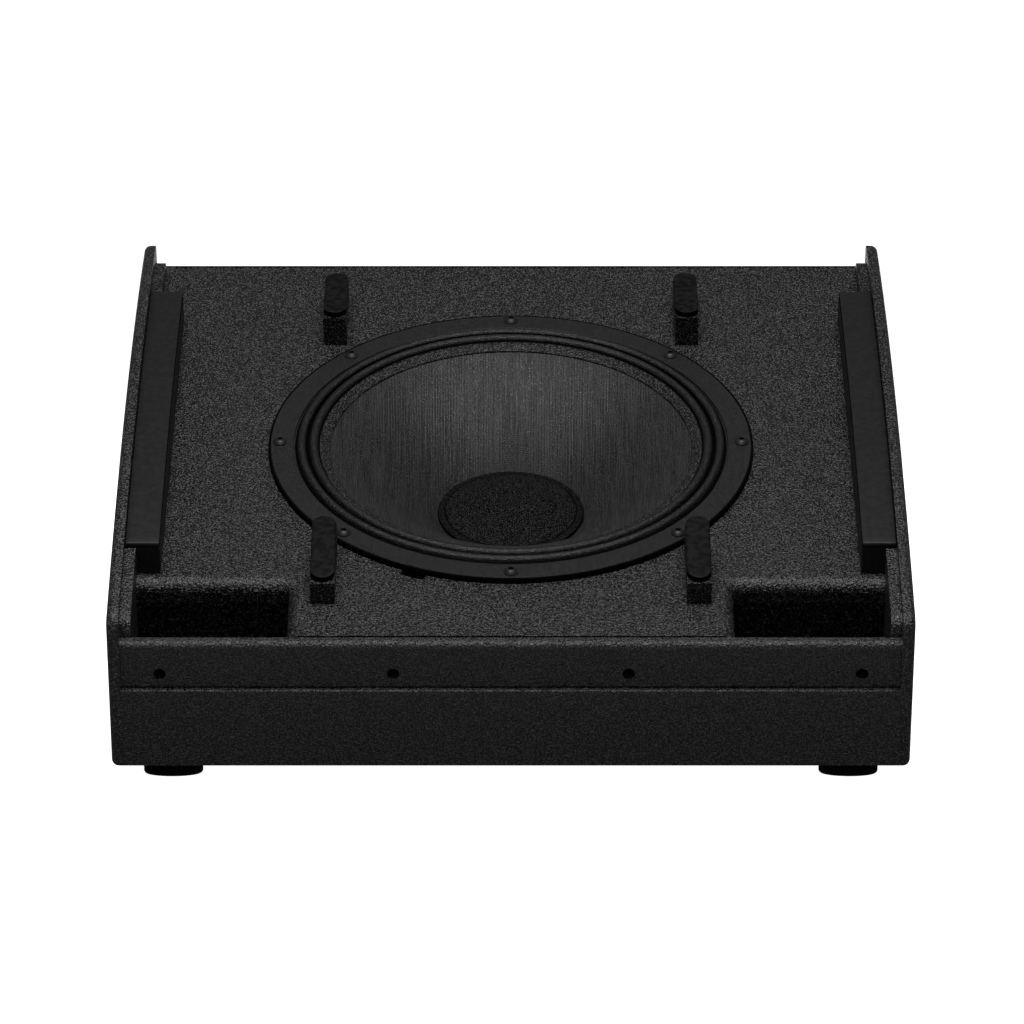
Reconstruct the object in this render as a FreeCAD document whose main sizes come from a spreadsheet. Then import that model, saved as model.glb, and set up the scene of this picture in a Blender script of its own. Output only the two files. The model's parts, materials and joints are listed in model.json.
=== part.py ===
"""Low-profile stage monitor wedge with one 15-inch coaxial driver, as an assembly of separate pieces.

Row frame: +X to the wedge's right, +Y to its back, +Z up, millimetres. The origin is under the middle
of the whole wedge, on the floor. The slanted baffle has a frame of its own: X as above, Y up the slope,
Z out of the baffle, with its origin on the baffle's surface at the driver's axis. The driver is drawn
in the same frame, so its axis is that frame's Z axis.
"""
import FreeCAD, Part
import Sketcher
import math
import os

Vector = FreeCAD.Vector
DOC = FreeCAD.newDocument("stage_monitor_wedge")
SHEET = DOC.addObject("Spreadsheet::Sheet", "Sizes")
NODES = []

DRIVING = {
    # the cabinet, in the row frame
    "half_width": 308.0,
    "side_thick": 18.0,
    "lip_wide": 9.5,
    "tilt": 28.3,
    "axis_back": -12.59,
    "axis_up": 240.3,
    "back_reach": 263.21,
    "foot_high": 10.0,
    "wall_thick": 15.0,
    # the cabinet, along and out of the baffle
    "baffle_thick": 18.0,
    "baffle_front": 266.5,
    "baffle_back": 281.2,
    "joint_gap": 2.1,
    "nose_reach": 277.0,
    "nose_high": 21.5,
    "heel_reach": 281.5,
    "heel_deep": 110.0,
    "crown_back": 280.2,
    "crown_high": 23.5,
    "lip_radius": 1850.0,
    "ledge_radius": 1927.0,
    "ledge_front_high": 13.8,
    "ledge_back_high": 13.2,
    "ledge_back": 270.0,
    "rail_reach": 275.3,
    "rail_deep": 41.0,
    "relief": 1.6,
    "seam_high": 0.35,
    "seam_wide": 0.8,
    "seam_gap": 1.8,
    "edge_round": 5.5,
    "nose_round": 13.0,
    # ports
    "port_inner": 171.7,
    "port_wall": 193.7,
    "port_round": 10.0,
    "duct_deep": 97.0,
    "duct_board": 15.0,
    # grille supports and trim
    "post_side": 144.9,
    "post_upper": 192.3,
    "post_lower": -184.0,
    "post_wide": 19.0,
    "post_long": 75.0,
    "post_high": 22.4,
    "post_slope": 5.5,
    "pad_thick": 5.0,
    "pad_shift": 1.7,
    "batten_wide": 18.4,
    "strip_front": 180.0,
    "strip_back": 195.0,
    "insert_deep": 28.0,
    "insert_hole": 4.9,
    "insert_outer": 268.5,
    "insert_inner": 90.0,
    # driver
    "ring_radius": 192.5,
    "gasket_radius": 194.3,
    "ring_inner": 174.0,
    "ring_top": 5.0,
    "cutout_radius": 176.5,
    "bolt_circle": 185.0,
    "cone_edge": 152.0,
    "cone_rim": 3.2,
    "cone_neck": 51.2,
    "cone_deep": 72.0,
    "cap_radius": 60.0,
    "cap_deep": 62.0,
    "coil_radius": 51.0,
    "plate_top": 100.0,
    "plate_thick": 8.0,
    "magnet_thick": 20.0,
    "magnet_radius": 95.0,
    "back_plate_thick": 10.0,
    "throat_radius": 12.7,
    "hf_radius": 42.0,
    # back of the cabinet
    "handle_up": 236.0,
    "handle_wide": 190.0,
    "handle_tall": 92.0,
    "handle_deep": 46.0,
    "plate_side": 175.0,
    "plate_up": 105.0,
    "plate_wide": 130.0,
    "plate_tall": 96.0,
    "socket_pitch": 27.0,
    "foot_radius": 23.0,
    "foot_round": 3.0,
    "foot_side": 262.0,
    "foot_inset": 32.0,
}


class Size:
    """A number together with the spreadsheet formula that it comes from."""

    def __init__(self, value, text=None):
        self.value = float(value)
        self.text = text or repr(float(value))

    def _join(self, other, sign, result):
        return Size(result, "(%s %s %s)" % (self.text, sign, other.text))

    def __add__(self, other):
        other = as_size(other)
        return self._join(other, "+", self.value + other.value)

    def __sub__(self, other):
        other = as_size(other)
        return self._join(other, "-", self.value - other.value)

    def __mul__(self, other):
        other = as_size(other)
        return self._join(other, "*", self.value * other.value)

    def __truediv__(self, other):
        other = as_size(other)
        return self._join(other, "/", self.value / other.value)

    def __radd__(self, other):
        return as_size(other) + self

    def __rsub__(self, other):
        return as_size(other) - self

    def __rmul__(self, other):
        return as_size(other) * self

    def __neg__(self):
        return Size(-self.value, "(0 - %s)" % self.text)


def as_size(number):
    return number if isinstance(number, Size) else Size(number)


class DrivingSizes:
    """The spreadsheet's cells by alias, such as d.tilt."""

    def __init__(self):
        for row, (alias, value) in enumerate(DRIVING.items(), start=1):
            SHEET.set("A%d" % row, alias)
            SHEET.set("B%d" % row, str(value))
            SHEET.setAlias("B%d" % row, alias)
            setattr(self, alias, Size(value, "Sizes.%s" % alias))
        DOC.recompute()


d = DrivingSizes()
SIN = Size(math.sin(math.radians(d.tilt.value)), "sin(Sizes.tilt)")
COS = Size(math.cos(math.radians(d.tilt.value)), "cos(Sizes.tilt)")
INNER = d.half_width - d.side_thick
LEDGE_OUT = d.half_width - d.lip_wide
NOSE_LEAN = (d.heel_reach - d.nose_reach) / (d.heel_deep + d.nose_high)

ROW = FreeCAD.Placement()
TILT = FreeCAD.Rotation(Vector(1, 0, 0), d.tilt.value)
BAFFLE = FreeCAD.Placement(Vector(0, d.axis_back.value, d.axis_up.value), TILT)


# ---------------------------------------------------------------- points on the cabinet's side view

def from_row(back, up):
    """A point given in the row frame, as (along, out) in the baffle's frame."""
    along_y = back - d.axis_back
    along_z = up - d.axis_up
    return along_y * COS + along_z * SIN, along_z * COS - along_y * SIN


def on_front(out, behind=0.0):
    """The point of the front panel's plane, or of a plane behind it, at a height out of the baffle."""
    reach = d.nose_reach + (d.nose_high - out) * NOSE_LEAN - behind
    return -reach, as_size(out)


def on_front_at(up, behind=0.0):
    """The same plane where it meets a level of the row frame."""
    level = up - d.axis_up
    start = d.nose_reach + d.nose_high * NOSE_LEAN - behind
    out = (level + start * SIN) / (COS + NOSE_LEAN * SIN)
    return on_front(out, behind)


def on_top(along, back):
    """The point at a distance up the slope and a distance back."""
    back_part = back - d.axis_back
    up_part = (along - back_part * COS) / SIN
    return along, up_part * COS - back_part * SIN


# ---------------------------------------------------------------- makers

def publish(thing, label, frame=None):
    """Makes an object one of the wedge's nodes."""
    thing.Label = label
    if frame is not None:
        thing.Placement = frame
    NODES.append(thing)
    return thing


def arc_between(first, second, radius):
    """An arc through two points, convex to the right of the way from first to second if radius > 0."""
    start = Vector(first[0].value, first[1].value, 0)
    end = Vector(second[0].value, second[1].value, 0)
    if radius < 0:
        start, end = end, start
    half = (end - start) * 0.5
    side = Vector(-half.y, half.x, 0).normalize()
    centre = start + half + side * math.sqrt(radius * radius - half.Length ** 2)
    from_angle = math.atan2(start.y - centre.y, start.x - centre.x)
    to_angle = math.atan2(end.y - centre.y, end.x - centre.x)
    return Part.ArcOfCircle(Part.Circle(centre, Vector(0, 0, 1), abs(radius)), from_angle, to_angle)


def sketch_on(body, role, outline, offset=0.0):
    """A closed sketch on a plane of the body. An outline point is (x, y), or (x, y, radius) where the
    edge that leaves it is an arc; the outline runs anticlockwise and a negative radius is hollow."""
    sketch = body.newObject("Sketcher::SketchObject", body.Name + "_sketch")
    planes = [plane for plane in body.Origin.OriginFeatures if plane.Role == role]
    sketch.AttachmentSupport = [(planes[0], "")]
    sketch.MapMode = "FlatFace"
    sketch.setExpression("AttachmentOffset.Base.z", as_size(offset).text)
    points = [tuple(as_size(part) for part in point) for point in outline]
    ends = []
    for number, point in enumerate(points):
        follower = points[(number + 1) % len(points)]
        if len(point) == 3:
            geometry = sketch.addGeometry(arc_between(point, follower, point[2].value))
            ends.append((geometry, 1, 2) if point[2].value > 0 else (geometry, 2, 1))
            radius = point[2] if point[2].value > 0 else -point[2]
            bind(sketch, Sketcher.Constraint("Radius", geometry, radius.value), radius)
        else:
            line = [Vector(place[0].value, place[1].value, 0) for place in (point, follower)]
            ends.append((sketch.addGeometry(Part.LineSegment(*line)), 1, 2))
    for number, (geometry, _, finish) in enumerate(ends):
        after, start, _ = ends[(number + 1) % len(ends)]
        sketch.addConstraint(Sketcher.Constraint("Coincident", geometry, finish, after, start))
    for (geometry, start, _), point in zip(ends, points):
        for kind, place in (("DistanceX", point[0]), ("DistanceY", point[1])):
            bind(sketch, Sketcher.Constraint(kind, -1, 1, geometry, start, place.value), place)
    return sketch


def bind(sketch, constraint, size):
    """Adds a constraint whose value follows the spreadsheet."""
    number = sketch.addConstraint(constraint)
    sketch.setExpression("Constraints[%d]" % number, size.text)


def new_body(name):
    return DOC.addObject("PartDesign::Body", name)


def pad(body, role, outline, start, thick):
    """Adds a slab with the given outline, from start along the plane's normal."""
    feature = body.newObject("PartDesign::Pad", body.Name + "_pad")
    feature.Profile = sketch_on(body, role, outline, start)
    feature.setExpression("Length", as_size(thick).text)
    DOC.recompute()
    return feature


def slab(label, role, outline, start, thick, frame):
    """A board of one outline."""
    body = new_body(label)
    pad(body, role, outline, start, thick)
    return publish(body, label, frame)


def turn(name, outline):
    """A solid of revolution about Z from an outline of (radius, height) points."""
    body = new_body(name)
    feature = body.newObject("PartDesign::Revolution", name + "_turn")
    sketch = sketch_on(body, "XZ_Plane", outline)
    feature.Profile = sketch
    feature.ReferenceAxis = (sketch, ["V_Axis"])
    feature.Angle = 360
    return body


def turned(label, outline, frame):
    """A solid of revolution that is a node."""
    return publish(turn(label, outline), label, frame)


def tube_outline(inner, outer, low, high):
    return [(inner, low), (outer, low), (outer, high), (inner, high)]


def round_edges(body, radius, chooser):
    """Rounds the edges of a body that the chooser picks."""
    base = body.Tip
    DOC.recompute()
    names = ["Edge%d" % (number + 1) for number, edge in enumerate(base.Shape.Edges) if chooser(edge)]
    feature = body.newObject("PartDesign::Fillet", body.Name + "_round")
    feature.Base = (base, names)
    feature.setExpression("Radius", as_size(radius).text)
    DOC.recompute()
    return feature


def runs_across(edge):
    """True for an edge along X."""
    box = edge.BoundBox
    return box.YLength < 0.01 and box.ZLength < 0.01


def near(edge, along, out, reach=0.5):
    """True for an edge whose middle is at a place of the side view."""
    middle = edge.BoundBox.Center
    return abs(middle.y - along.value) < reach and abs(middle.z - out.value) < reach


def box(name, corner, lengths, frame=ROW):
    """A block from its lowest corner, with its sizes bound to the spreadsheet."""
    block = DOC.addObject("Part::Box", name)
    for side, length in zip(("Length", "Width", "Height"), lengths):
        block.setExpression(side, as_size(length).text)
    place = Vector(*(as_size(part).value for part in corner))
    block.Placement = frame.multiply(FreeCAD.Placement(place, FreeCAD.Rotation()))
    return block


def rod(name, start, axis, radius, length, frame=ROW):
    """A cylinder from a point along an axis."""
    cylinder = DOC.addObject("Part::Cylinder", name)
    cylinder.setExpression("Radius", as_size(radius).text)
    cylinder.setExpression("Height", as_size(length).text)
    place = Vector(*(as_size(part).value for part in start))
    turn_to = FreeCAD.Rotation(Vector(0, 0, 1), Vector(*axis))
    cylinder.Placement = frame.multiply(FreeCAD.Placement(place, turn_to))
    return cylinder


def joined(name, things):
    """Several solids made one."""
    fuse = DOC.addObject("Part::MultiFuse", name)
    fuse.Shapes = things
    fuse.Refine = True
    return fuse


def without(name, base, tools):
    """A solid with others cut out of it."""
    cut = DOC.addObject("Part::Cut", name)
    cut.Base = base
    cut.Tool = tools[0] if len(tools) == 1 else joined(name + "_tools", tools)
    return cut


def group(label, things):
    """Separate solids in one node."""
    bundle = DOC.addObject("Part::Compound", label)
    bundle.Links = things
    return publish(bundle, label)


def around(count):
    """Turns about Z that share out a circle, the first at the top of the baffle."""
    return [FreeCAD.Rotation(Vector(0, 0, 1), 90 + 360 * number / count) for number in range(count)]


def copies(label, master, places):
    """One node with a solid at each place, all cut from one master."""
    DOC.recompute()
    shape = master.Shape.copy()
    shape.Placement = ROW
    solids = []
    for place in places:
        solid = shape.copy()
        solid.Placement = place
        solids.append(solid)
    feature = DOC.addObject("Part::Feature", label)
    feature.Shape = Part.makeCompound(solids)
    return publish(feature, label)


def at(frame, x, y, z, rotation=FreeCAD.Rotation()):
    place = Vector(*(as_size(part).value for part in (x, y, z)))
    return frame.multiply(FreeCAD.Placement(place, rotation))


# ---------------------------------------------------------------- cabinet

HEEL = on_front_at(d.foot_high)
TAIL = from_row(d.back_reach, d.foot_high)
SHOULDER = on_top(d.baffle_back, d.back_reach)
NOSE = on_front(d.nose_high)
CROWN = (d.crown_back, d.crown_high)
FRONT_BACK_LOW = on_front_at(d.foot_high, d.side_thick)
FRONT_BACK_HIGH = on_front(-d.baffle_thick, d.side_thick)


def side_panel(label, side):
    """Plywood cheek: a proud outer lip and, inside it, a ledge that the grille's edge lies on."""
    outer_start = LEDGE_OUT if side > 0 else -d.half_width
    inner_start = INNER if side > 0 else -LEDGE_OUT
    body = new_body(label)
    pad(body, "YZ_Plane", [HEEL, TAIL, SHOULDER, CROWN + (d.lip_radius,), NOSE], outer_start, d.lip_wide)
    inner = [
        FRONT_BACK_LOW,
        TAIL,
        SHOULDER,
        (d.baffle_back, 0),
        (d.ledge_back, 0),
        (d.ledge_back, d.ledge_back_high, d.ledge_radius),
        (-d.baffle_front, d.ledge_front_high),
        (-d.baffle_front, -d.baffle_thick),
        FRONT_BACK_HIGH,
    ]
    pad(body, "YZ_Plane", inner, inner_start, d.side_thick - d.lip_wide)
    round_edges(body, d.nose_round, lambda edge: runs_across(edge) and near(edge, *NOSE))
    ends = [(d.ledge_back, d.ledge_back_high), (-d.baffle_front, d.ledge_front_high)]
    round_edges(body, 12.0, lambda edge: runs_across(edge) and any(near(edge, *end) for end in ends))
    round_edges(body, 10.0, lambda edge: runs_across(edge) and near(edge, *CROWN))
    outside = side * d.half_width.value
    round_edges(body, d.edge_round, lambda edge: edge.BoundBox.XLength < 0.01
                and abs(edge.BoundBox.Center.x - outside) < 0.01)
    return publish(body, label, BAFFLE)


def cabinet_sides():
    for label, side in (("side_panel_left", -1), ("side_panel_right", 1)):
        side_panel(label, side)


def baffle():
    """Slanted board with the driver's hole, its bolt holes, a pry slot and two port notches."""
    body = new_body("baffle_board")
    front = d.joint_gap - d.baffle_front
    back = d.baffle_back - d.seam_wide - d.seam_gap
    outline = [
        (-d.port_inner, front),
        (d.port_inner, front),
        (d.port_inner, -d.port_wall),
        (INNER, -d.port_wall),
        (INNER, back),
        (-INNER, back),
        (-INNER, -d.port_wall),
        (-d.port_inner, -d.port_wall),
    ]
    pad(body, "XY_Plane", outline, -d.baffle_thick, d.baffle_thick)

    def notch_corner(edge):
        middle = edge.BoundBox.Center
        upright = edge.BoundBox.ZLength > 1
        in_corner = abs(abs(middle.x) - d.port_inner.value) < 0.1 and abs(middle.y + d.port_wall.value) < 0.1
        return upright and in_corner

    def notch_rim(edge):
        reach = edge.BoundBox
        on_surface = abs(reach.ZMax) < 0.01 and reach.ZLength < 0.01
        inside_width = reach.XMax < INNER.value + 0.1 and reach.XMin > -INNER.value - 0.1
        along_wall = reach.YMax <= -d.port_wall.value + 6.1 and reach.YLength + reach.XLength > 1
        front_edge = abs(reach.YMin - front.value) < 0.01 and abs(reach.YMax - front.value) < 0.01
        return on_surface and inside_width and along_wall and not front_edge

    round_edges(body, 6.0, notch_corner)
    round_edges(body, d.port_round, notch_rim)
    tools = [rod("driver_hole", (0, 0, -30), (0, 0, 1), d.cutout_radius, 60)]
    for number, turned_by in enumerate(around(8)):
        spot = turned_by.multVec(Vector(d.bolt_circle.value, 0, -30))
        tools.append(rod("bolt_hole_%d" % number, (spot.x, spot.y, spot.z), (0, 0, 1), 4.1, 60))
    slot = box("pry_slot", (-10, -200.5, -7), (20, 20, 20))
    slot.Placement = FreeCAD.Placement(Vector(), FreeCAD.Rotation(Vector(0, 0, 1), -22.7)).multiply(slot.Placement)
    tools.append(slot)
    publish(without("baffle_cut", body, tools), "baffle", BAFFLE)


def front_panel():
    """Front board: a proud lower band, and a set-back rail with four threaded inserts for the grille."""
    outline = [
        HEEL,
        FRONT_BACK_LOW,
        FRONT_BACK_HIGH,
        (-d.baffle_front, -d.baffle_thick),
        (-d.baffle_front, 0),
        (-d.rail_reach, 0),
        (-d.rail_reach, d.relief - d.rail_deep),
        (d.relief - d.rail_reach, d.relief - d.rail_deep),
        (d.relief - d.rail_reach, -d.rail_deep),
        on_front(-d.rail_deep),
    ]
    body = new_body("front_board")
    pad(body, "YZ_Plane", outline, -LEDGE_OUT, LEDGE_OUT * 2)
    rail_edge = (-d.rail_reach, as_size(0))
    step_edge = on_front(-d.rail_deep)
    round_edges(body, 5.0, lambda edge: runs_across(edge) and near(edge, *rail_edge))
    round_edges(body, 1.5, lambda edge: runs_across(edge) and near(edge, *step_edge))
    start = on_front(-d.insert_deep, -5)
    tools = [rod("insert_hole_%d" % number, (x, start[0], start[1]), (0, 1, 0), d.insert_hole, 40)
             for number, x in enumerate(insert_sides())]
    publish(without("front_cut", body, tools), "front_panel", BAFFLE)


def insert_sides():
    return [-d.insert_outer, -d.insert_inner, d.insert_inner, d.insert_outer]


def grille_inserts():
    """Threaded inserts pushed in from behind the rail: a plain flange and a barrel with an M6 thread."""
    barrel = 9.0
    flange = 1.5
    outline = [(2.5, 0), (9.0, 0), (9.0, flange), (4.4, flange), (4.4, barrel + flange), (2.5, barrel + flange)]
    master = turn("insert_master", outline)
    face = on_front(-d.insert_deep, d.side_thick)
    towards_front = FreeCAD.Rotation(Vector(0, 0, 1), Vector(0, -1, 0))
    copies("grille_inserts", master,
           [at(BAFFLE, x, face[0] + flange + 0.6, face[1], towards_front) for x in insert_sides()])


def bottom_panel():
    """Level board under everything, with pilot holes for the foot screws."""
    level = [d.foot_high, d.foot_high + d.wall_thick]
    outline = [
        on_front_at(level[0], d.side_thick),
        from_row(d.back_reach - d.wall_thick, level[0]),
        from_row(d.back_reach - d.wall_thick, level[1]),
        on_front_at(level[1], d.side_thick),
    ]
    body = new_body("bottom_board")
    pad(body, "YZ_Plane", outline, -INNER, INNER * 2)
    body.Placement = BAFFLE
    holes = [rod("foot_pilot_%d" % number, (x, y, 5), (0, 0, 1), 2.4, 15)
             for number, (x, y) in enumerate(foot_spots())]
    publish(without("bottom_cut", body, holes), "bottom_panel")


def top_panel():
    """Short board at a right angle to the baffle, mitred to the back; a groove parts it from the baffle."""
    inner = on_top(d.baffle_back - d.wall_thick, d.back_reach - d.wall_thick)
    outline = [
        (d.baffle_back - d.wall_thick, -d.baffle_thick),
        inner,
        SHOULDER,
        (d.baffle_back, 0),
        (d.baffle_back - d.seam_wide, d.seam_high),
        (d.baffle_back - d.seam_wide, -d.baffle_thick),
    ]
    slab("top_panel", "YZ_Plane", outline, -INNER, INNER * 2, BAFFLE)


def back_panel():
    """Upright board with openings and shallow recesses for the handle and the connector plate."""
    outline = [
        from_row(d.back_reach - d.wall_thick, d.foot_high),
        TAIL,
        SHOULDER,
        on_top(d.baffle_back - d.wall_thick, d.back_reach - d.wall_thick),
    ]
    body = new_body("back_board")
    pad(body, "YZ_Plane", outline, -INNER, INNER * 2)
    body.Placement = BAFFLE
    tools = [
        upright_block("handle_opening", 0, d.handle_up, d.handle_wide - 26, d.handle_tall - 26, -30, 40),
        upright_block("handle_recess", 0, d.handle_up, d.handle_wide + 1, d.handle_tall + 1, -3.5, 10),
        upright_block("plate_opening", -d.plate_side, d.plate_up, d.plate_wide - 26, d.plate_tall - 26, -30, 40),
        upright_block("plate_recess", -d.plate_side, d.plate_up, d.plate_wide + 1, d.plate_tall + 1, -5, 10),
    ]
    for number, (x, z, depth) in enumerate(rear_screw_spots()):
        start = (x, d.back_reach - depth - 14, z)
        tools.append(rod("rear_pilot_%d" % number, start, (0, 1, 0), 2.0, 14))
    publish(without("back_cut", body, tools), "back_panel")


def upright_block(name, x, z, wide, tall, behind, deep):
    """A block centred on the back panel, from a distance behind its outer face."""
    corner = (x - as_size(wide) / 2, d.back_reach + behind, z - as_size(tall) / 2)
    return box(name, corner, (wide, deep, tall))


def rear_screw_spots():
    """(x, z, depth of the seat below the back face) of each wood screw in the handle and the plate."""
    spots = []
    for side in (-1, 1):
        for up in (-1, 1):
            spots.append((side * (d.handle_wide / 2 - 6.5), d.handle_up + up * (d.handle_tall / 2 - 6.5), 1.5))
            spots.append((side * (d.plate_wide / 2 - 6.5) - d.plate_side,
                          d.plate_up + up * (d.plate_tall / 2 - 6.5), 3.0))
    return spots


def port_ducts():
    """Each port's duct: a wall behind it and a divider beside it, under the baffle."""
    low = -d.duct_deep
    tall = d.duct_deep - d.baffle_thick
    for label, side in (("left", -1), ("right", 1)):
        inner_edge = d.port_inner - d.duct_board
        start = -INNER if side < 0 else inner_edge
        wall = box("port_wall_" + label, (start, -d.port_wall, low), (INNER - inner_edge, d.duct_board, tall), BAFFLE)
        publish(wall, "port_wall_" + label)
        front = on_front(-d.duct_deep, d.side_thick)
        outline = [
            front,
            (-d.port_wall, low),
            (-d.port_wall, -d.baffle_thick),
            FRONT_BACK_HIGH,
        ]
        start = -d.port_inner if side < 0 else inner_edge
        slab("port_divider_" + label, "YZ_Plane", outline, start, d.duct_board, BAFFLE)


def braces():
    """Plywood ribs that stiffen the bottom and back boards, one each side of the driver."""
    thick = 12.0
    floor = d.foot_high + d.wall_thick
    behind = d.back_reach - d.wall_thick
    outline = [
        from_row(d.back_reach - 160, floor),
        from_row(behind, floor),
        from_row(behind, floor + 140),
        from_row(behind - 25, floor + 140),
        from_row(d.back_reach - 160, floor + 25),
    ]
    for label, x in (("brace_left", -252.0 - thick), ("brace_right", 252.0)):
        slab(label, "YZ_Plane", outline, x, thick, BAFFLE)


# ---------------------------------------------------------------- grille supports and trim

def ledge_height(along):
    """Height of the ledge's arc above the baffle."""
    chord = d.ledge_back + d.baffle_front
    middle = (d.ledge_back - d.baffle_front) / 2
    rise = chord * chord / (d.ledge_radius * 8)
    mean = (d.ledge_back_high + d.ledge_front_high) / 2
    off = as_size(along) - middle
    return mean + rise - off * off / (d.ledge_radius * 2)


def side_trim():
    """Batten beside each ledge and the soft strip that lies on both of them."""
    ends = (-d.strip_front, d.strip_back)
    tops = [ledge_height(end) for end in ends]
    for label, side in (("left", -1), ("right", 1)):
        batten_start = INNER - d.batten_wide if side > 0 else -INNER
        outline = [(ends[0], 0), (ends[1], 0), (ends[1], tops[1], d.ledge_radius), (ends[0], tops[0])]
        slab("batten_" + label, "YZ_Plane", outline, batten_start, d.batten_wide, BAFFLE)
        strip_wide = LEDGE_OUT - INNER + d.batten_wide - 0.3
        strip_start = INNER - d.batten_wide if side > 0 else -LEDGE_OUT + 0.3
        outline = [
            (ends[0], tops[0] + 0.3, -d.ledge_radius),
            (ends[1], tops[1] + 0.3),
            (ends[1], tops[1] + d.pad_thick, d.ledge_radius + d.pad_thick),
            (ends[0], tops[0] + d.pad_thick),
        ]
        slab("edge_strip_" + label, "YZ_Plane", outline, strip_start, strip_wide, BAFFLE)


def posts():
    """Four wooden blocks around the driver that hold the grille off it, with a soft pad on each."""
    half = d.post_long / 2
    lean = Size(math.tan(math.radians(d.post_slope.value)), "tan(Sizes.post_slope)")
    pads = []
    for height, up, along in (("upper", 1, d.post_upper), ("lower", -1, d.post_lower)):
        outline = [
            (along - half, 0),
            (along + half, 0),
            (along + half, d.post_high - half * lean * up),
            (along - half, d.post_high + half * lean * up),
        ]
        for side in (-1, 1):
            label = "%s_post_%s" % (height, "left" if side < 0 else "right")
            start = d.post_side * side - d.post_wide / 2
            slab(label, "YZ_Plane", outline, start, d.post_wide, BAFFLE)
            slope = FreeCAD.Rotation(Vector(1, 0, 0), -d.post_slope.value * up)
            shift = slope.multVec(Vector(0, d.pad_shift.value, 0))
            pads.append(at(BAFFLE, d.post_side * side, along + shift.y, d.post_high + shift.z, slope))
    copies("post_pads", pad_master(), pads)


def pad_master():
    """Soft pad with half-round ends, lying on the XY plane."""
    radius = d.post_wide / 2
    straight = d.post_long / 2 - radius
    outline = [(-radius, -straight, radius * 1.0001), (radius, -straight), (radius, straight, radius * 1.0001),
               (-radius, straight)]
    body = new_body("pad_master")
    pad(body, "XY_Plane", outline, 0.0, d.pad_thick)
    return body


# ---------------------------------------------------------------- driver

def driver_frame_parts():
    """Cast basket with its mounting flange, and the foam gasket under the flange and around its edge."""
    gasket = 1.0
    outline = [
        (168.0, 1.5),
        (170.5, -14.0),
        (90.0, -84.0),
        (60.0, -84.0),
        (60.0, -d.plate_top),
        (92.0, -d.plate_top),
        (96.0, -88.0),
        (175.2, -17.0),
        (175.2, gasket),
        (d.ring_radius, gasket),
        (d.ring_radius, d.ring_top - 0.4),
        (d.ring_radius - 0.4, d.ring_top),
        (d.ring_inner + 0.4, d.ring_top),
        (d.ring_inner, d.ring_top - 0.4),
        (d.ring_inner, 3.0),
        (168.0, 3.0),
    ]
    body = turn("basket_turned", outline)
    tools = []
    for number, turned_by in enumerate(around(8)):
        spot = turned_by.multVec(Vector(d.bolt_circle.value, 0, -5))
        tools.append(rod("flange_hole_%d" % number, (spot.x, spot.y, spot.z), (0, 0, 1), 3.3, 20))
        window = box("window_%d" % number, (100, -32, -90), (62, 64, 68))
        half_step = FreeCAD.Rotation(Vector(0, 0, 1), 22.5)
        window.Placement = FreeCAD.Placement(Vector(), half_step.multiply(turned_by)).multiply(window.Placement)
        tools.append(window)
    publish(without("basket_cut", body, tools), "driver_basket", BAFFLE)
    lip = d.ring_radius + 0.3
    body = turn("gasket_turned", [
        (179.0, 0),
        (d.gasket_radius, 0),
        (d.gasket_radius, d.ring_top - 0.8),
        (d.gasket_radius - 0.6, d.ring_top),
        (lip, d.ring_top),
        (lip, gasket),
        (179.0, gasket),
    ])
    holes = []
    for number, turned_by in enumerate(around(8)):
        spot = turned_by.multVec(Vector(d.bolt_circle.value, 0, -5))
        holes.append(rod("gasket_hole_%d" % number, (spot.x, spot.y, spot.z), (0, 0, 1), 3.3, 20))
    publish(without("gasket_cut", body, holes), "driver_gasket", BAFFLE)


def driver_bolts():
    """Eight button-head screws through the flange and the tee nuts that they go into."""
    head_radius = 5.6
    outline = [(0, -24), (2.95, -24), (2.95, 0), (head_radius, 0), (head_radius, 0.9, 6.6), (2.4, 3.3), (0, 3.3)]
    screw = turn("screw_turned", outline)
    socket = DOC.addObject("Part::Prism", "screw_socket")
    socket.Polygon = 6
    socket.Circumradius = 2.3
    socket.Height = 4
    socket.Placement = FreeCAD.Placement(Vector(0, 0, 1.3), FreeCAD.Rotation())
    master = without("screw_master", screw, [socket])
    places = []
    for turned_by in around(8):
        spot = turned_by.multVec(Vector(d.bolt_circle.value, 0, d.ring_top.value))
        places.append(at(BAFFLE, spot.x, spot.y, spot.z, turned_by))
    copies("driver_screws", master, places)
    outline = [(3.0, -1.5), (9.5, -1.5), (9.5, 0), (4.0, 0), (4.0, 9.0), (3.0, 9.0)]
    places = []
    for turned_by in around(8):
        spot = turned_by.multVec(Vector(d.bolt_circle.value, 0, -d.baffle_thick.value))
        places.append(at(BAFFLE, spot.x, spot.y, spot.z, turned_by))
    copies("driver_tee_nuts", turn("tee_nut_turned", outline), places)


def soft_parts():
    """Double-roll surround between the flange and the cone, and the spider behind the cone."""
    turned("surround", [
        (145.2, 0.25),
        (153.2, 4.2),
        (154.9, 5.1, -3.1),
        (160.9, 5.1),
        (164.6, 5.1, -3.0),
        (170.4, 5.1),
        (171.1, 3.2),
        (172.8, 3.2),
        (172.8, 4.2),
        (171.9, 4.2),
        (171.1, 6.0, 3.65),
        (163.9, 6.0),
        (161.6, 6.0, 3.75),
        (154.2, 6.0),
        (152.8, 5.0),
        (144.8, 1.05),
    ], BAFFLE)
    turned("spider", [
        (52.0, -80.0),
        (60.0, -82.0),
        (66.0, -79.0),
        (72.0, -82.0),
        (78.0, -79.0),
        (84.0, -82.0),
        (88.0, -81.0),
        (93.0, -81.0),
        (93.0, -80.2),
        (88.0, -80.2),
        (84.0, -81.2),
        (78.0, -78.2),
        (72.0, -81.2),
        (66.0, -78.2),
        (60.0, -81.2),
        (52.0, -79.2),
    ], BAFFLE)


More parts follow.
